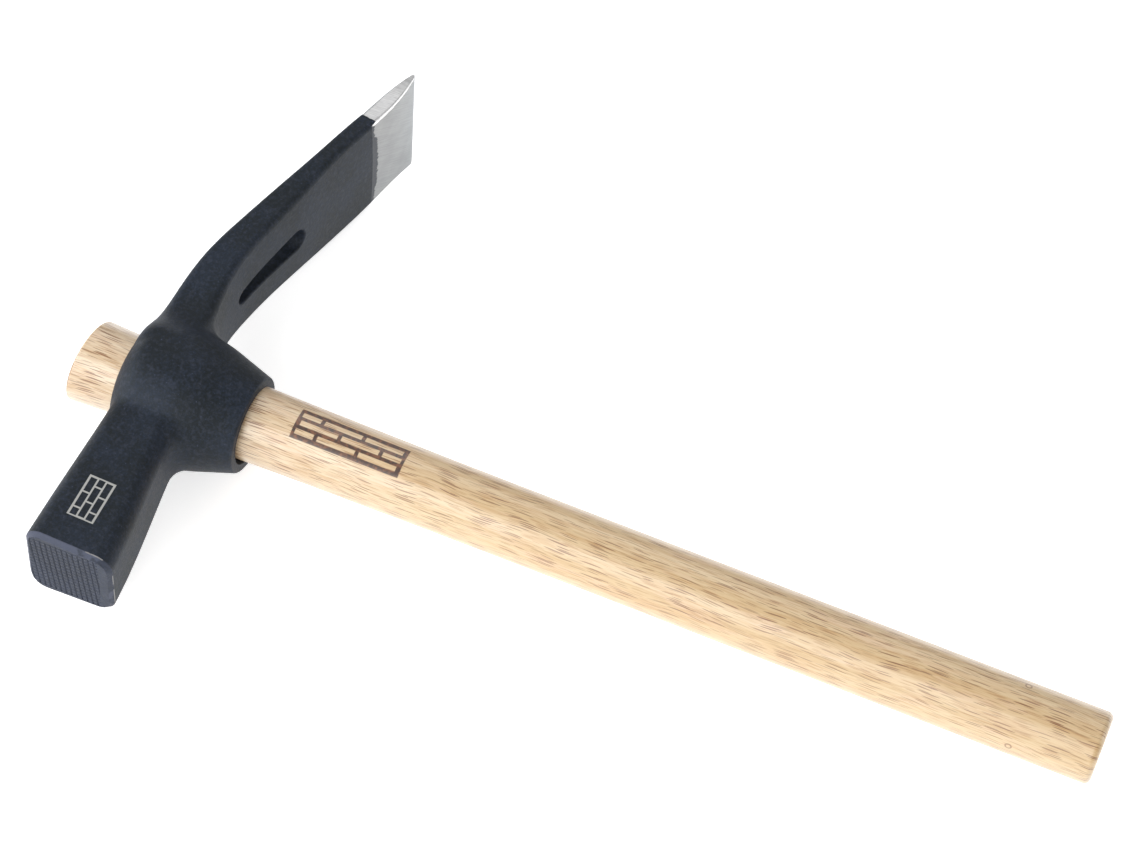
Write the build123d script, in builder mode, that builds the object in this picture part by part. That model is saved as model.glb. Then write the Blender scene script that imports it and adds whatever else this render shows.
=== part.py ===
from build123d import *
import os

os.makedirs("parts", exist_ok=True)

# Brick hammer: a one-piece forged head with a square striking poll and a drooping adze blade,
# on a round wooden handle driven through the tapered eye from the top.
#
# Modelled on the handle's axis: +X runs down the handle from its top end to the butt,
# +Y runs from the striking face to the blade, and +Z is the side that faces up when the
# hammer lies flat.  At the end both pieces move together, so that the origin is the centre
# of the underside of their bounding box.  All sizes are in millimetres.

# ---------------------------------------------------------------- overall sizes
LENGTH = 320.0            # handle, from the middle of its top end to the butt
FACE_Y = -69.8            # plane of the striking face
EDGE_Y = 128.0            # cutting edge of the blade, at its longer corner

# ---------------------------------------------------------------- eye
EYE_Y = -1.0              # the forging sits this far off the handle's axis
EYE_R = 21.6              # outside radius of the eye's barrel
EYE_TOP_X = 13.8          # where the handle's stub leaves the head
EYE_TOP_R = 11.8
BARREL_X = 25.2           # the domed top runs into the barrel here
CONE_X = 43.2             # and the barrel has bent into the conical socket by here
CONE_R = 18.8
MOUTH_X = 54.7            # lower end of the socket
MOUTH_R = 15.1
RIM_R = 0.9               # rounding of the socket's rim
BORE_CLEARANCE = 0.02     # driven fit: the bore follows the handle's own taper
GAP_R = 12.3              # the bore opens to this radius at the mouth
GAP_DEPTH = 7.0

# ---------------------------------------------------------------- poll (hammer end)
POLL_HALF_OUTER = 14.4    # half-width on the side away from the butt
POLL_HALF_INNER = 13.0    # half-width on the side towards the butt
POLL_CORNER_R = 5.6
# Sections as (y, outer x, inner x); the last one is inside the eye.
POLL = [
    (FACE_Y, 15.7, 43.3),
    (-56.3, 15.9, 42.3),
    (-44.8, 16.2, 40.9),
    (-28.1, 16.7, 38.6),
    (0.0, 16.7, 35.9),
]
POLL_BLEND_R = 6.3
FACE_X = 29.5             # centre of the striking face
FACE_CHAMFER = 1.3

# Milled face: two crossed sets of V grooves, as (pitch, depth, count, degrees of turn).  They sit
# one groove off the face's centre, so that the side towards the butt keeps a plain strip.
MILL_SETS = [(1.7, 0.32, 14, 5.0), (1.5, 0.2, 16, 91.0)]
MILL_X = FACE_X - MILL_SETS[0][0]
MILL_AREA = (22.8, 23.2)  # the grooves stop at the edges of this rectangle

# ---------------------------------------------------------------- blade
# Sections as (y, upper x, lower x, half-width, corner radius, crown of the lower side).
# The first two are inside the eye.
BLADE = [
    (0.0, 14.7, 33.5, 18.0, 4.9, 0.4),
    (13.6, 15.5, 32.0, 16.3, 4.9, 0.5),
    (28.0, 16.3, 30.0, 14.1, 2.9, 0.6),
    (40.1, 18.4, 30.0, 16.3, 2.3, 0.8),
    (56.1, 22.8, 32.8, 17.4, 2.1, 0.8),
    (72.1, 28.1, 36.6, 18.6, 2.1, 0.8),
    (88.1, 33.8, 40.3, 20.1, 1.9, 0.7),
    (99.9, 37.1, 43.5, 19.9, 1.7, 0.5),
    (109.6, 39.8, 46.0, 19.1, 1.2, 0.3),
    (117.4, 42.3, 47.7, 19.1, 0.8, 0.2),
    (123.2, 45.0, 48.7, 20.1, 0.6, 0.1),
    (EDGE_Y, 48.1, 49.1, 21.3, 0.3, 0.05),
]
BLADE_BLEND_R = 6.0
EDGE_SLANT = 1.0          # the cutting edge falls back this much across the blade
LONG_CORNER_R = 0.8       # rounding of the cutting edge's two corners
SHORT_CORNER_R = 4.0
BEVEL_LENGTH = 2.2        # honed bevel under the cutting edge
BEVEL_DEPTH = 0.55

# ---------------------------------------------------------------- nail slot
SLOT_Z = -0.7
SLOT_NARROW_Y = 41.7
SLOT_NARROW_R = 2.8
SLOT_WIDE_Y = 67.2
SLOT_WIDE_R = 4.4
SLOT_LIP_R = 0.6

# ---------------------------------------------------------------- handle
# Outline as (x, radius): it tapers through the eye and runs into a straight round grip.
TOP = (-2.0, 13.25)
STUB = (14.5, 12.45)
EYE_END = (35.0, 11.95)
WAIST = (82.5, 11.25)
GRIP = (155.0, 10.85)
TOP_CUT = (-1.0, 0.11, 0.05)    # the top end is sawn a few degrees off square: its normal
TOP_EDGE_R = 0.6
BUTT_EDGE_R = 2.0


def handle_outline(extra=0.0):
    """Draw the tapered outline of the handle, its radius grown by extra."""
    top, stub, eye_end, waist, grip = [(x, r + extra) for x, r in (TOP, STUB, EYE_END, WAIST, GRIP)]
    ThreePointArc(top, stub, eye_end)
    ThreePointArc(eye_end, waist, grip)


# ================================================================ handle
with BuildPart() as handle:
    with BuildSketch(Plane.XY):
        with BuildLine():
            handle_outline()
            Polyline(GRIP, (LENGTH, GRIP[1]), (LENGTH, 0), (TOP[0], 0), TOP)
        make_face()
    revolve(axis=Axis.X)
    with BuildSketch(Plane((0, 0, 0), z_dir=TOP_CUT)):
        Circle(2 * TOP[1])
    extrude(amount=5.0, mode=Mode.SUBTRACT)
    fillet(handle.faces().sort_by(Axis.X)[-1].edges(), BUTT_EDGE_R)
    fillet(handle.faces().sort_by(Axis.X)[0].edges(), TOP_EDGE_R)

# ================================================================ head
eye_axis = Axis((0, EYE_Y, 0), (1, 0, 0))

with BuildPart() as mill:
    with Locations(Plane((MILL_X, FACE_Y, 0), x_dir=(1, 0, 0), z_dir=(0, -1, 0))):
        for pitch, depth, count, turn in MILL_SETS:
            with Locations(Rotation(0, 0, turn)):
                with GridLocations(pitch, 1, count, 1):
                    Box(depth * 2**0.5, 50, depth * 2**0.5, rotation=(0, 45, 0))
        Box(*MILL_AREA, 5, mode=Mode.INTERSECT)

with BuildPart() as head:
    # Eye: a domed barrel that narrows to the conical socket.
    with BuildSketch(Plane.XY.move(Location((0, EYE_Y, 0)))):
        with BuildLine():
            Spline((EYE_TOP_X, EYE_TOP_R), (15.7, 16.9), (18.8, 20.2), (BARREL_X, EYE_R),
                   tangents=[(0.3, 1.0), (1.0, 0.0)])
            TangentArc((BARREL_X, EYE_R), (CONE_X, CONE_R), tangent=(1, 0))
            Polyline((CONE_X, CONE_R), (MOUTH_X, MOUTH_R), (MOUTH_X, 0), (EYE_TOP_X, 0),
                     (EYE_TOP_X, EYE_TOP_R))
        make_face()
    revolve(axis=eye_axis)

    # Poll: rounded trapezoids lofted from the face into the eye.
    for y, outer_x, inner_x in POLL:
        with BuildSketch(Plane.XZ.offset(-y)) as section:
            with BuildLine():
                Polyline(
                    (outer_x, -POLL_HALF_OUTER),
                    (inner_x, -POLL_HALF_INNER),
                    (inner_x, POLL_HALF_INNER),
                    (outer_x, POLL_HALF_OUTER),
                    close=True,
                )
            make_face()
            fillet(section.vertices(), POLL_CORNER_R)
    loft()
    fillet(head.edges(Select.NEW), POLL_BLEND_R)

    # Blade: rounded sections, crowned underneath, lofted from inside the eye to the edge.
    for y, upper_x, lower_x, half, corner, crown in BLADE:
        with BuildSketch(Plane.XZ.offset(-y)) as section:
            with BuildLine():
                Polyline((lower_x, -half), (upper_x, -half), (upper_x, half), (lower_x, half))
                ThreePointArc((lower_x, half), (lower_x + crown, 0), (lower_x, -half))
            make_face()
            fillet(section.vertices(), corner)
    loft()
    joint_edges = head.edges(Select.NEW)
    fillet(joint_edges.filter_by(lambda edge: edge.center().X < 30.0), BLADE_BLEND_R)

    # Cutting edge: honed underneath and a little slanted, with rounded corners.
    edge_lower_x = BLADE[-1][2]
    edge_half = BLADE[-1][3]
    with BuildSketch(Plane.XY):
        Polygon((edge_lower_x + 1, EDGE_Y - BEVEL_LENGTH), (edge_lower_x, EDGE_Y - BEVEL_LENGTH),
                (edge_lower_x - BEVEL_DEPTH, EDGE_Y), (edge_lower_x + 1, EDGE_Y), align=None)
    extrude(amount=30.0, both=True, mode=Mode.SUBTRACT)
    with BuildSketch(Plane.YZ) as outline:
        Polygon((-100, -40), (100, -40), (100, -edge_half), (EDGE_Y - EDGE_SLANT, -edge_half),
                (EDGE_Y, edge_half), (100, edge_half), (100, 40), (-100, 40), align=None)
        fillet(outline.vertices().sort_by(Axis.X)[-2], SHORT_CORNER_R)
        fillet(outline.vertices().sort_by(Axis.X)[-1], LONG_CORNER_R)
    extrude(amount=80.0, mode=Mode.INTERSECT)

    # Striking face: chamfered all round and milled.
    chamfer(head.faces().sort_by(Axis.Y)[0].edges(), FACE_CHAMFER)
    add(mill.part, mode=Mode.SUBTRACT)

    # Bore: the handle's own taper, opened out at the socket's mouth.
    with BuildSketch(Plane.XY):
        with BuildLine():
            handle_outline(BORE_CLEARANCE)
            Polyline((GRIP[0], GRIP[1] + BORE_CLEARANCE), (GRIP[0], 0), (TOP[0], 0),
                     (TOP[0], TOP[1] + BORE_CLEARANCE))
        make_face()
    revolve(axis=Axis.X, mode=Mode.SUBTRACT)
    with BuildSketch(Plane.XY.move(Location((0, EYE_Y, 0)))):
        Polygon((MOUTH_X - GAP_DEPTH, 0), (MOUTH_X, 0), (MOUTH_X, GAP_R), (MOUTH_X - GAP_DEPTH, 10.5),
                align=None)
    revolve(axis=eye_axis, mode=Mode.SUBTRACT)
    fillet(head.faces().sort_by(Axis.X)[-1].edges().sort_by(SortBy.LENGTH)[-1], RIM_R)

    # Nail slot: a teardrop through the blade with rounded lips.
    with BuildSketch(Plane.YZ):
        with Locations((SLOT_NARROW_Y, SLOT_Z)):
            Circle(SLOT_NARROW_R)
        with Locations((SLOT_WIDE_Y, SLOT_Z)):
            Circle(SLOT_WIDE_R)
        make_hull()
    extrude(amount=80.0, mode=Mode.SUBTRACT)
    lips = head.edges(Select.NEW).filter_by(GeomType.LINE, reverse=True)
    fillet(lips, SLOT_LIP_R)

# ================================================================ placing and export
bounds = handle.part.bounding_box().add(head.part.bounding_box())
to_origin = Location((-bounds.center().X, -bounds.center().Y, -bounds.min.Z))

for piece, name in ((handle, "handle"), (head, "head")):
    placed = piece.part.moved(to_origin)
    placed.label = name
    export_step(placed, f"parts/{name}.step")
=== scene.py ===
import math

import bpy
from mathutils import Matrix, Vector


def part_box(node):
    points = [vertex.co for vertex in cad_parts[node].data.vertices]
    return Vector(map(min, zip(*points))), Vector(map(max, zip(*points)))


# Brick hammer: both CAD pieces are shown as they are, with procedural materials, on a white floor.
# Everything is in metres, in the part's own frame: +X runs down the handle to the butt, +Y from
# the striking face to the blade, and +Z is the side that faces up when the hammer lies flat.

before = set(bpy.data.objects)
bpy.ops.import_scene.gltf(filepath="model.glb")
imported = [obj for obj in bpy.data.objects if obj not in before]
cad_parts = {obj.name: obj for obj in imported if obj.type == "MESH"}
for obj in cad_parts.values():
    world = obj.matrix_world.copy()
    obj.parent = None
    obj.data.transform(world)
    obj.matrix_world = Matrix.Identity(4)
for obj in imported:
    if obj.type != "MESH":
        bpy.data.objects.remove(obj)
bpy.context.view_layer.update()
scene = bpy.context.scene
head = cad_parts["head"]
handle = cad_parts["handle"]
MM = 0.001
SHARP_ANGLE = math.radians(28.0)             # edges that turn more than this stay sharp

# ---------------------------------------------------------------- places on the object
head_low, head_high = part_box("head")
handle_low, handle_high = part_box("handle")
FACE_Y = head_low.y                          # plane of the striking face
EDGE_Y = head_high.y                         # cutting edge
AXIS_Y = (handle_low.y + handle_high.y) / 2  # the handle's axis
AXIS_Z = (handle_low.z + handle_high.z) / 2
TOP_X = handle_low.x                         # the handle's top end


# ================================================================ shader helper
class Shader:
    """One procedural material; most methods add nodes and return an output socket."""

    def __init__(self, name):
        self.material = bpy.data.materials.new(name)
        self.material.use_nodes = True
        self.tree = self.material.node_tree
        self.principled = self.tree.nodes["Principled BSDF"]

    def node(self, kind, inputs=None, **settings):
        """Add a node; inputs maps a socket's name or number to a value or to another socket."""
        node = self.tree.nodes.new(kind)
        for key, value in settings.items():
            setattr(node, key, value)
        for key, value in (inputs or {}).items():
            self.put(node.inputs[key], value)
        return node

    def put(self, socket, value):
        if isinstance(value, bpy.types.NodeSocket):
            self.tree.links.new(value, socket)
        else:
            socket.default_value = value

    def surface(self, **values):
        """Set or link the Principled shader's sockets, named with underscores for spaces."""
        for key, value in values.items():
            self.put(self.principled.inputs[key.replace("_", " ")], value)

    def math(self, operation, a, b=0.0, clamp=False):
        node = self.node("ShaderNodeMath", {0: a, 1: b}, operation=operation, use_clamp=clamp)
        return node.outputs[0]

    def times(self, *values):
        product = values[0]
        for value in values[1:]:
            product = self.math("MULTIPLY", product, value)
        return product

    def step(self, value, low, high, out_low=0.0, out_high=1.0):
        """Smooth step from out_low at low to out_high at high; low may be the larger one."""
        node = self.node("ShaderNodeMapRange", {0: value, 1: low, 2: high, 3: out_low, 4: out_high},
                         interpolation_type="SMOOTHSTEP")
        return node.outputs[0]

    def vector(self, x, y, z=0.0):
        return self.node("ShaderNodeCombineXYZ", {0: x, 1: y, 2: z}).outputs[0]

    def split(self, vector):
        return self.node("ShaderNodeSeparateXYZ", {0: vector}).outputs

    def scaled(self, vector, scale):
        """Scale each axis of a vector; the features get 1/scale long, in metres."""
        node = self.node("ShaderNodeVectorMath", {0: vector, 1: scale}, operation="MULTIPLY")
        return node.outputs[0]

    def noise(self, vector, scale=1.0, detail=2.0, roughness=0.5):
        node = self.node("ShaderNodeTexNoise", {"Vector": vector, "Scale": scale, "Detail": detail,
                                                "Roughness": roughness})
        return node.outputs[0]

    def dashes(self, along, across, length, width, fill):
        """Scattered spindles up to length by width, packed as closely as fill says.

        Each has its own size and strength, and it is 0 away from them.
        """
        spread = (fill / length, fill / width, 0.0)
        cells = self.node("ShaderNodeTexVoronoi", {
            "Vector": self.scaled(self.vector(along, across), spread), "Scale": 1.0},
            voronoi_dimensions="2D")
        strength, size, _ = self.split(cells.outputs["Color"])
        reach = self.math("DIVIDE", cells.outputs["Distance"], self.step(size, 0.0, 1.0, 0.45, 1.0))
        spindle = self.step(reach, fill / 2, fill * 0.36)
        return self.times(spindle, self.step(strength, 0.0, 0.8, 0.3, 1.0))

    def mix(self, factor, a, b):
        """Mix two colours."""
        node = self.node("ShaderNodeMix", {0: factor, 6: a, 7: b}, data_type="RGBA")
        return node.outputs[2]

    def mix_value(self, factor, a, b):
        return self.node("ShaderNodeMix", {0: factor, 2: a, 3: b}, data_type="FLOAT").outputs[0]

    def bump(self, height, distance, strength):
        inputs = {"Height": height, "Distance": distance, "Strength": strength}
        return self.node("ShaderNodeBump", inputs).outputs[0]

    def position(self):
        return self.node("ShaderNodeTexCoord").outputs["Object"]

    def face_normal(self):
        return self.node("ShaderNodeNewGeometry").outputs["Normal"]


def rgb(red, green, blue):
    """A linear colour from 0-255 display values."""
    def linear(value):
        value /= 255
        return value / 12.92 if value <= 0.04045 else ((value + 0.055) / 1.055) ** 2.4
    return (linear(red), linear(green), linear(blue), 1.0)


MARK_COURSES = 3                   # rows of bricks in a mark
BRICKS_LONG = 2.5                  # bricks in a row


def brick_mark(shader, along, across, length, height, line):
    """A generic mark of a panel of bricks in a frame: 1 on its lines, 0 elsewhere."""
    row = height / MARK_COURSES
    brick = shader.node("ShaderNodeTexBrick", {
        "Vector": shader.vector(shader.math("ADD", along, length / 2),
                                shader.math("ADD", across, height / 2)),
        "Scale": 1 / MM, "Brick Width": length / MM / BRICKS_LONG, "Row Height": row / MM,
        "Mortar Size": line / MM * 0.7, "Mortar Smooth": 0.3}, offset=0.5)
    side = shader.math("ABSOLUTE", along)
    end = shader.math("ABSOLUTE", across)
    blur = line / 4
    inside = shader.times(shader.step(side, length / 2 + line, length / 2 + line - blur),
                          shader.step(end, height / 2 + line, height / 2 + line - blur))
    frame_line = shader.math("MAXIMUM", shader.step(side, length / 2 - blur, length / 2),
                             shader.step(end, height / 2 - blur, height / 2))
    lines = shader.math("MAXIMUM", brick.outputs["Fac"], frame_line)
    return shader.times(lines, inside)


# ================================================================ head: coated and ground steel
GROUND_Y = EDGE_Y - 21.0 * MM      # middle of the line where the coating ends on the blade
GROUND_BOW = 2.2 * MM              # the line falls back this much at the blade's narrow sides
BLADE_HALF = 19.5 * MM             # half the blade's width there
ARRIS_X = -113.7 * MM              # edge between its narrow side and its wide side to the butt
SIDE_LAG = 1.8 * MM                # on the narrow sides the line is this much nearer the tip
SIDE_TILT = 0.15                   # and it leans that way by this slope, going away from the butt
RAGGED_FLAT = 3.6 * MM             # how far the ragged line strays on the wide sides
RAGGED_SIDE = 0.6 * MM             # and on the narrow ones
SHARPNESS = 0.12 * MM              # half the blur of the line
FADE = 2.6 * MM                    # widest part of the worn strip between coating and bare steel
THINNED = 0.62                     # how much of the coating is worn off in that strip
CHAMFER = 1.3 * MM                 # round the striking face
FACE_X = head_low.x + 15.7 * MM    # middle of the striking face
FACE_HALF_X = 13.8 * MM
FACE_HALF_Z = 13.7 * MM
FACE_TAPER = 0.05                  # slope of its sides: it narrows towards the butt
FACE_CORNER = 5.6 * MM
FACE_BLUR = 0.1 * MM               # half the blur of the chamfer's inner edge
CHAMFER_SHADE_FALL = -16.0                  # how fast the chamfer's lightening dies out towards the butt: painted shade there
CHAMFER_WEAR_AND_HIGHLIGHT = (0.08, 0.66)        # least and most lightening of the coating on the chamfer, partly wear and partly painted highlight
WORN_FACE = 0.24                   # on the whole striking face
WORN_RIM = 0.45                    # on sharp edges
RIM_RADIUS = 0.5 * MM              # how wide a sharp edge looks
SCRATCH_X = (4 * MM, 7 * MM)       # past the face's middle, where scratches on its rim begin
SCRATCHED = 0.8                    # how far bare steel shows in a scratch

COAT_DARK = rgb(17, 22, 26)
COAT_BLUE = rgb(31, 39, 53)
COAT_THIN = rgb(96, 97, 101)
# the next colour is for worn coating and for painted glints on the coating's brightest specks
COAT_WORN_AND_GLINT = rgb(84, 88, 106)
# Bare steel: the next two colours are for the blade's wide sides, the two after for its narrow sides,
# which are painted lighter as painted light.
STEEL = rgb(166, 164, 162)
STEEL_DARK = rgb(142, 140, 138)
STEEL_SIDE = rgb(222, 222, 222)
STEEL_SIDE_DARK = rgb(186, 186, 187)
# the next colour is a painted highlight on the bare blade's rounded arris
STEEL_ARRIS_HIGHLIGHT = rgb(250, 250, 250)
ETCHED = rgb(168, 168, 165)

ETCH_CENTRE = (-130.8 * MM, -81.1 * MM)    # of the mark on the poll, as (x, y)
ETCH_SIZE = (14.0 * MM, 7.6 * MM)
ETCH_LINE = 0.45 * MM

# Noise scales, in features for each metre.
CLOUD = 60.0
SPECKLE = 1500.0
GRAIN = 700.0
RUB = 330.0
STAIN = 160.0
TEETH = (900.0, 150.0, 900.0)
BRUSHING = (70.0, 2600.0)          # along the brushing and across it, on the wide sides
BRUSHING_SIDE = (200.0, 3200.0, 200.0)
BRUSH_WAY = (0.82, -0.57)          # the brushing's direction on the wide sides, as (y, z)

COAT_RELIEF = 0.16 * MM            # depth of the coating's grain and of the brushing
COAT_ROUGHNESS = (0.50, 0.62)      # least and most
ETCH_ROUGHNESS = 0.6
STEEL_ROUGHNESS = (0.30, 0.44)
ARRIS_ROUGHNESS = 0.36


def dark_coating(s, place, speckle, grain):
    """Nearly black, with a bluish cloud, a fine speckle and painted glints on its brightest specks.
    """
    cloud = s.noise(place, CLOUD, detail=4.0)
    blue = s.math("ADD", s.step(cloud, 0.35, 0.65, 0.0, 0.6), s.step(speckle, 0.35, 0.70, -0.3, 0.6),
                  clamp=True)
    coat = s.mix(blue, COAT_DARK, COAT_BLUE)
    # painted glints: the brightest specks are painted lighter
    glint = s.times(s.step(speckle, 0.68, 0.76), 0.5)
    return s.mix(s.math("MAXIMUM", glint, s.step(grain, 0.45, 0.70, 0.0, 0.14)), coat, COAT_WORN_AND_GLINT)


def past_face_outline(s, face_x, z):
    """Distance outside the striking face's rounded outline, below 0 within it."""
    half_z = s.math("SUBTRACT", FACE_HALF_Z, s.times(face_x, FACE_TAPER))
    reach_x = s.math("SUBTRACT", s.math("ABSOLUTE", face_x), FACE_HALF_X - FACE_CORNER)
    reach_z = s.math("SUBTRACT", s.math("ABSOLUTE", s.math("SUBTRACT", z, AXIS_Z)),
                     s.math("SUBTRACT", half_z, FACE_CORNER))
    out_x = s.math("MAXIMUM", reach_x, 0.0)
    out_z = s.math("MAXIMUM", reach_z, 0.0)
    corner = s.math("SQRT", s.math("ADD", s.times(out_x, out_x), s.times(out_z, out_z)))
    inner = s.math("MINIMUM", s.math("MAXIMUM", reach_x, reach_z), 0.0)
    return s.math("SUBTRACT", s.math("ADD", corner, inner), FACE_CORNER)


def worn_coating(s, coat, place, speckle):
    """Rub the coating thin on the striking face, its chamfer and sharp edges, and scratch it; on the
    chamfer this is partly a painted highlight that dies out towards the butt as painted shade.
    """
    x, y, z = s.split(place)
    face_x = s.math("SUBTRACT", x, FACE_X)
    outline = past_face_outline(s, face_x, z)
    near_face = s.step(y, FACE_Y + CHAMFER + 0.3 * MM, FACE_Y + CHAMFER)
    on_chamfer = s.times(near_face, s.step(outline, -FACE_BLUR - CHAMFER, FACE_BLUR - CHAMFER))
    rubbed = s.noise(place, RUB, detail=3.0)
    # The chamfer is painted lighter, partly as wear and partly as a painted highlight, and this dies
    # out towards the butt as painted shade.
    wear_and_shade = s.step(s.math("ADD", rubbed, s.times(face_x, CHAMFER_SHADE_FALL)), 0.26, 0.46)
    chamfer_wear_and_highlight = s.times(on_chamfer, s.mix_value(wear_and_shade, *CHAMFER_WEAR_AND_HIGHLIGHT))

    bevel = s.node("ShaderNodeBevel", {"Radius": RIM_RADIUS}, samples=4).outputs[0]
    bend = s.node("ShaderNodeVectorMath", {0: bevel, 1: s.face_normal()}, operation="DOT_PRODUCT")
    rim = s.times(s.step(bend.outputs["Value"], 0.985, 0.94), s.step(speckle, 0.50, 0.62))
    worn = s.math("MAXIMUM", chamfer_wear_and_highlight, s.times(rim, WORN_RIM))
    worn = s.math("MAXIMUM", worn, s.times(near_face, WORN_FACE))
    coat = s.mix(worn, coat, COAT_WORN_AND_GLINT)

    off_rim = s.math("ABSOLUTE", s.math("SUBTRACT", y, FACE_Y + CHAMFER))
    scratch = s.times(s.step(off_rim, 0.22 * MM, 0.08 * MM), s.step(outline, -0.5 * MM, -0.3 * MM),
                      s.step(rubbed, 0.42, 0.50), s.step(face_x, *SCRATCH_X))
    return s.mix(s.times(scratch, SCRATCHED), coat, STEEL_DARK)


def etched_mark(s, place, normal_z, grain):
    """The mark on the poll's upper side: 1 where it is etched."""
    x, y, z = s.split(place)
    mark = brick_mark(s, s.math("SUBTRACT", y, ETCH_CENTRE[1]), s.math("SUBTRACT", x, ETCH_CENTRE[0]),
                      *ETCH_SIZE, ETCH_LINE)
    mark = s.times(mark, s.step(normal_z, 0.7, 0.8), s.step(z, AXIS_Z + 5 * MM, AXIS_Z + 6 * MM))
    return s.times(mark, s.step(grain, 0.25, 0.45, 0.75, 1.0))


def ground_end(s, place, on_side):
    """1 on the bare steel past a ragged line across the blade, and 1 from the worn strip on."""
    x, y, z = s.split(place)
    side = s.math("DIVIDE", s.math("SUBTRACT", z, AXIS_Z), BLADE_HALF)
    tilt = s.times(s.math("SUBTRACT", ARRIS_X, x), SIDE_TILT)
    line = s.math("SUBTRACT", GROUND_Y, s.times(side, side, GROUND_BOW))
    line = s.math("ADD", line, s.times(on_side, s.math("ADD", tilt, SIDE_LAG)))
    ragged = s.noise(s.scaled(place, TEETH), detail=3.0, roughness=0.7)
    teeth = s.times(s.math("SUBTRACT", ragged, 0.5), s.mix_value(on_side, RAGGED_FLAT, RAGGED_SIDE))
    past = s.math("SUBTRACT", y, line)
    bare = s.step(s.math("ADD", past, teeth), -SHARPNESS, SHARPNESS)
    thin = s.times(s.step(y, GROUND_Y - FADE - SHARPNESS, GROUND_Y - FADE + SHARPNESS),
                   s.math("SUBTRACT", 1.0, on_side))
    return bare, thin


def brushed_steel(s, place, on_side, arris_highlight):
    """Brushed diagonally on the blade's wide sides and straight across its narrow sides, with a
    painted highlight on the arris between them.
    """
    _, y, z = s.split(place)
    way_y, way_z = BRUSH_WAY
    along = s.math("ADD", s.times(y, way_y), s.times(z, way_z))
    across = s.math("SUBTRACT", s.times(z, way_y), s.times(y, way_z))
    brushed_flat = s.noise(s.scaled(s.vector(along, across), (*BRUSHING, 0.0)), detail=3.0,
                           roughness=0.6)
    brushed_side = s.noise(s.scaled(place, BRUSHING_SIDE), detail=3.0, roughness=0.7)
    brushing = s.mix_value(on_side, brushed_flat, brushed_side)
    stain = s.noise(place, STAIN, detail=2.0)
    # the narrow sides' steel is painted lighter than the wide sides': painted light
    steel = s.mix(s.step(s.math("ADD", brushing, s.times(stain, 0.3)), 0.42, 0.86),
                  s.mix(on_side, STEEL_DARK, STEEL_SIDE_DARK), s.mix(on_side, STEEL, STEEL_SIDE))
    # painted highlight: the rounded arris gets near-white steel
    return s.mix(arris_highlight, steel, STEEL_ARRIS_HIGHLIGHT), brushing


def head_material():
    s = Shader("coated_steel")
    place = s.position()
    speckle = s.noise(place, SPECKLE, detail=2.0, roughness=0.7)
    grain = s.noise(place, GRAIN, detail=3.0, roughness=0.65)
    normal_z = s.split(s.face_normal())[2]
    sideways = s.math("ABSOLUTE", normal_z)
    on_side = s.step(sideways, 0.6, 0.8)
    # band of the rounded arris between the blade's narrow and wide sides, which gets a painted
    # highlight on bare steel
    arris_highlight = s.times(s.step(sideways, 0.28, 0.45), s.step(sideways, 0.95, 0.86))

    mark = etched_mark(s, place, normal_z, grain)
    bare, thin = ground_end(s, place, on_side)
    coat = worn_coating(s, dark_coating(s, place, speckle, grain), place, speckle)
    coat = s.mix(mark, coat, ETCHED)
    coat = s.mix(s.times(thin, THINNED), coat, COAT_THIN)
    steel, brushing = brushed_steel(s, place, on_side, arris_highlight)

    coat_roughness = s.mix_value(mark, s.step(speckle, 0.3, 0.7, *COAT_ROUGHNESS), ETCH_ROUGHNESS)
    steel_roughness = s.mix_value(arris_highlight, s.step(brushing, 0.3, 0.7, *STEEL_ROUGHNESS),
                                  ARRIS_ROUGHNESS)
    coat_height = s.math("ADD", s.times(speckle, 0.6), s.times(grain, 0.6))
    s.surface(
        Base_Color=s.mix(bare, coat, steel),
        Metallic=bare,
        Roughness=s.mix_value(bare, coat_roughness, steel_roughness),
        Normal=s.bump(s.mix_value(bare, coat_height, s.times(brushing, 0.3)), COAT_RELIEF, 0.8),
        Specular_IOR_Level=0.31,
        Specular_Tint=(0.87, 0.94, 1.0, 1.0),
    )
    return s.material


# ================================================================ handle: lacquered hardwood
PITH_Y = AXIS_Y + 34.0 * MM         # heart of the tree that the growth rings circle
PITH_Z = AXIS_Z - 16.0 * MM
RING = 2.3 * MM
RING_DRIFT = 9.0 * MM               # how far the rings wave along the grain
WAVER = 3.0 * MM                    # how far the grain wanders round the handle
GLARE_X = -20.0 * MM                # from here to the top end the wood is painted whiter: a painted highlight
GLARE_FADE = 100.0 * MM             # over this length
WOOD_RELIEF = 0.05 * MM             # depth of the fibre, the pores and the burnt mark
WOOD_ROUGHNESS = (0.36, 0.50)       # least and most, under the lacquer
TOP_RIM = (1.2 * MM, 2.2 * MM)      # a thin dark line on the top end's rim fades out between these

# Dashes that stand for the pores, as (length, width, fill).
DARK_PORES = (8.5 * MM, 0.42 * MM, 0.68)
PALE_PORES = (7.0 * MM, 0.34 * MM, 0.80)

# Noise scales, in features for each metre, most of them drawn out along the grain.
WAVE = (14.0, 55.0, 55.0)
BAND = (10.0, 130.0, 130.0)
FIBRE = (60.0, 2400.0, 2400.0)
FLECK = (60.0, 300.0, 300.0)
WANDER = (40.0, 80.0, 80.0)
CHAR = 900.0
END_PORES = 1600.0

WOOD_PALE = rgb(218, 194, 154)
WOOD_TAN = rgb(208, 178, 132)
WOOD_BAND = rgb(192, 152, 100)
WOOD_PINK = rgb(219, 188, 156)
# the next colour is a painted highlight on the wood near the top end
WOOD_GLARE = rgb(230, 212, 188)
WOOD_END = rgb(234, 212, 182)
PORE = rgb(122, 72, 30)
PORE_PALE = rgb(166, 116, 66)
BURNT = rgb(62, 36, 24)
BURNT_RIM = rgb(120, 74, 44)

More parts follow.
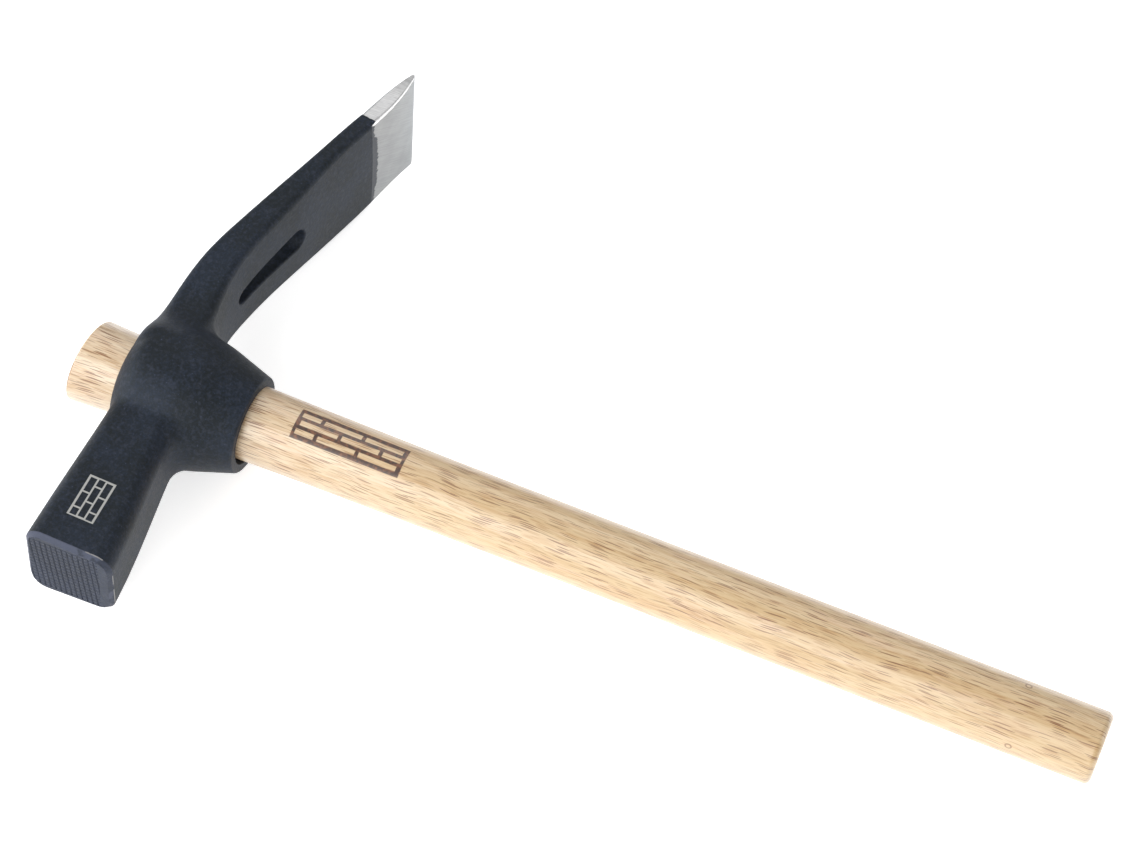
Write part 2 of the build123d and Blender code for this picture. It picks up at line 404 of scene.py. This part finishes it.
BURN_CENTRE_X = -73.0 * MM
BURN_ANGLE = math.radians(-5.0)     # round the handle, from +Z towards +Y
BURN_SIZE = (33.0 * MM, 8.6 * MM)
BURN_LINE = 1.0 * MM
GRIP_RADIUS = 11.3 * MM             # of the handle under the mark
KNOTS = [(136.0, -84.0), (135.5, 28.0), (118.0, 140.0)]   # along the handle in mm, degrees round it
KNOT_R = 1.0 * MM
BUTT_RADIUS = 10.85 * MM            # of the handle at the knots


def early_wood(s, place):
    """Growth rings about a pith outside the handle, waved along the grain: 1 in the early wood."""
    _, y, z = s.split(place)
    wave = s.noise(s.scaled(place, WAVE), detail=2.0)
    drift = s.times(s.math("SUBTRACT", wave, 0.5), RING_DRIFT)
    pith_y = s.math("SUBTRACT", y, PITH_Y)
    pith_z = s.math("SUBTRACT", z, PITH_Z)
    radius = s.math("SQRT", s.math("ADD", s.times(pith_y, pith_y), s.times(pith_z, pith_z)))
    phase = s.math("FRACT", s.math("DIVIDE", s.math("ADD", radius, drift), RING))
    return s.times(s.step(phase, 0.0, 0.12), s.step(phase, 0.55, 0.25))


def plain_wood(s, place, early, fibre):
    """The wood's colour without pores and knots, painted whiter towards the top end as a painted
    highlight.
    """
    x = s.split(place)[0]
    band = s.noise(s.scaled(place, BAND), detail=3.0, roughness=0.6)
    wood = s.mix(s.step(band, 0.25, 0.75), WOOD_PALE, WOOD_TAN)
    # painted highlight: whiter wood towards the top end
    wood = s.mix(s.step(x, GLARE_X, GLARE_X - GLARE_FADE, 0.0, 0.6), wood, WOOD_GLARE)
    wood = s.mix(s.times(early, s.step(fibre, 0.30, 0.70, 0.15, 0.45)), wood, WOOD_BAND)
    fleck = s.noise(s.scaled(place, FLECK), detail=2.0)
    wood = s.mix(s.step(fleck, 0.52, 0.70, 0.0, 0.5), wood, WOOD_PINK)
    return s.mix(s.step(fibre, 0.42, 0.66, 0.0, 0.42), wood, WOOD_BAND)


def pores(s, place, angle, early, end_grain):
    """Dark and pale dashes along the grain, a little stronger in the early wood, dots on the ends."""
    x = s.split(place)[0]
    waver = s.noise(s.scaled(place, WANDER), detail=1.0)
    around = s.math("ADD", s.times(angle, GRIP_RADIUS), s.times(waver, WAVER))
    on_grain = s.times(s.mix_value(early, 0.8, 1.0), s.math("SUBTRACT", 1.0, end_grain))
    dark_pore = s.times(s.dashes(x, around, *DARK_PORES), on_grain)
    pale_pore = s.times(s.dashes(x, around, *PALE_PORES), on_grain)
    end_pore = s.times(s.step(s.noise(place, END_PORES, detail=1.0), 0.58, 0.68), end_grain)
    return dark_pore, s.math("MAXIMUM", pale_pore, end_pore)


def knot_rings(s, place):
    """Small knots near the butt: 1 on their dark rings."""
    rings = 0.0
    for along_mm, degrees in KNOTS:
        turn = math.radians(degrees)
        centre = (along_mm * MM, AXIS_Y + BUTT_RADIUS * math.sin(turn),
                  AXIS_Z + BUTT_RADIUS * math.cos(turn))
        distance = s.node("ShaderNodeVectorMath", {0: place, 1: centre}, operation="DISTANCE")
        away = distance.outputs["Value"]
        ring = s.times(s.step(away, KNOT_R * 0.5, KNOT_R * 0.8),
                       s.step(away, KNOT_R * 1.3, KNOT_R * 0.9))
        rings = s.math("MAXIMUM", ring, rings)
    return rings


def burnt_mark(s, place, angle):
    """The branded mark: 1 where the wood is burnt."""
    burn_across = s.times(s.math("SUBTRACT", angle, BURN_ANGLE), GRIP_RADIUS)
    burn_along = s.math("SUBTRACT", s.split(place)[0], BURN_CENTRE_X)
    return brick_mark(s, burn_along, burn_across, *BURN_SIZE, BURN_LINE)


def handle_material():
    s = Shader("lacquered_wood")
    place = s.position()
    x, y, z = s.split(place)
    angle = s.math("ARCTAN2", s.math("SUBTRACT", y, AXIS_Y), s.math("SUBTRACT", z, AXIS_Z))
    early = early_wood(s, place)
    fibre = s.noise(s.scaled(place, FIBRE), detail=3.0, roughness=0.7)
    normal_x = s.math("ABSOLUTE", s.split(s.face_normal())[0])
    end_grain = s.step(normal_x, 0.75, 0.95)

    dark_pore, pale_pore = pores(s, place, angle, early, end_grain)
    wood = plain_wood(s, place, early, fibre)
    wood = s.mix(s.times(pale_pore, 0.6), wood, PORE_PALE)
    wood = s.mix(s.times(dark_pore, 0.9), wood, PORE)
    wood = s.mix(s.times(knot_rings(s, place), 0.75), wood, PORE)

    # Sawn ends: paler, with a thin dark line at the top end's rim.
    wood = s.mix(s.times(end_grain, 0.75), wood, WOOD_END)
    top_rim = s.times(s.step(x, TOP_X + TOP_RIM[1], TOP_X + TOP_RIM[0]),
                      s.step(normal_x, 0.15, 0.35), s.step(normal_x, 0.95, 0.8))
    wood = s.mix(s.times(top_rim, 0.6), wood, PORE)

    burn = burnt_mark(s, place, angle)
    char = s.noise(place, CHAR, detail=2.0)
    wood = s.mix(burn, wood, s.mix(s.step(char, 0.40, 0.70), BURNT, BURNT_RIM))

    pore = s.math("MAXIMUM", dark_pore, s.times(pale_pore, 0.5))
    height = s.math("SUBTRACT", s.times(fibre, 0.35), s.math("ADD", pore, s.times(burn, 2.5)))
    s.surface(
        Base_Color=wood,
        Roughness=s.step(fibre, 0.3, 0.7, *WOOD_ROUGHNESS),
        Normal=s.bump(height, WOOD_RELIEF, 0.4),
        Coat_Weight=0.95,
        Coat_Roughness=0.30,
        Coat_IOR=1.68,
    )
    return s.material


for node, make_material in ((head, head_material), (handle, handle_material)):
    node.data.shade_smooth()
    node.data.set_sharp_from_angle(angle=SHARP_ANGLE)
    node.data.materials.clear()
    node.data.materials.append(make_material())


# ================================================================ floor
def floor_material():
    s = Shader("white_floor")
    shade = s.noise(s.position(), 3.0)
    s.surface(Base_Color=s.mix(shade, rgb(246, 246, 246), rgb(250, 250, 250)), Roughness=0.9,
              Emission_Color=(1.0, 1.0, 1.0, 1.0), Emission_Strength=0.62, Specular_IOR_Level=0.1)
    return s.material


FLOOR_SIZE = 12.0
FLOOR_GAP = 0.2 * MM                # the floor lies this much under the hammer
bpy.ops.mesh.primitive_plane_add(size=FLOOR_SIZE, location=(0.0, 0.0, -FLOOR_GAP))
floor = bpy.context.object
floor.name = "floor"
floor.data.materials.append(floor_material())


# ================================================================ light
def softbox(name, place, size, power, aim=(-0.05, 0.0, 0.02)):
    """A rectangular area light at place, of a size in metres and a power in watts."""
    data = bpy.data.lights.new(name, "AREA")
    data.shape = "RECTANGLE"
    data.size, data.size_y = size
    data.energy = power
    lamp = bpy.data.objects.new(name, data)
    lamp.location = place
    lamp.rotation_euler = (Vector(aim) - Vector(place)).to_track_quat("-Z", "Y").to_euler()
    scene.collection.objects.link(lamp)


softbox("key_light", (-0.45, -1.4, 1.0), (1.4, 1.5), 18.5)
softbox("left_light", (-1.4, -0.5, 0.8), (1.0, 0.9), 14.0)
softbox("right_light", (1.6, 0.45, 0.75), (0.5, 0.9), 4.0)
softbox("back_light", (-0.4, 1.1, 1.5), (1.3, 1.3), 5.0)

WORLD_COLOR = (1.0, 1.0, 1.0, 1.0)
WORLD_STRENGTH = 0.42
world = bpy.data.worlds.new("studio")
world.use_nodes = True
world.node_tree.nodes["Background"].inputs["Color"].default_value = WORLD_COLOR
world.node_tree.nodes["Background"].inputs["Strength"].default_value = WORLD_STRENGTH
scene.world = world
scene.view_settings.view_transform = "Standard"


# ================================================================ camera
CAMERA_PLACE = (0.1608, -0.5381, 0.8445)
CAMERA_AZIMUTH = math.radians(18.18)     # of the view direction, round +Z
CAMERA_ELEVATION = math.radians(55.0)
CAMERA_ROLL = math.radians(5.66)
CAMERA_LENS = 106.2                      # focal length in millimetres
SENSOR_WIDTH = 36.0

camera_data = bpy.data.cameras.new("camera")
camera_data.sensor_width = SENSOR_WIDTH
camera_data.lens = CAMERA_LENS
camera = bpy.data.objects.new("camera", camera_data)
camera.matrix_world = (Matrix.Translation(CAMERA_PLACE)
                       @ Matrix.Rotation(CAMERA_AZIMUTH, 4, "Z")
                       @ Matrix.Rotation(math.pi / 2 - CAMERA_ELEVATION, 4, "X")
                       @ Matrix.Rotation(CAMERA_ROLL, 4, "Z"))
scene.collection.objects.link(camera)
scene.camera = camera
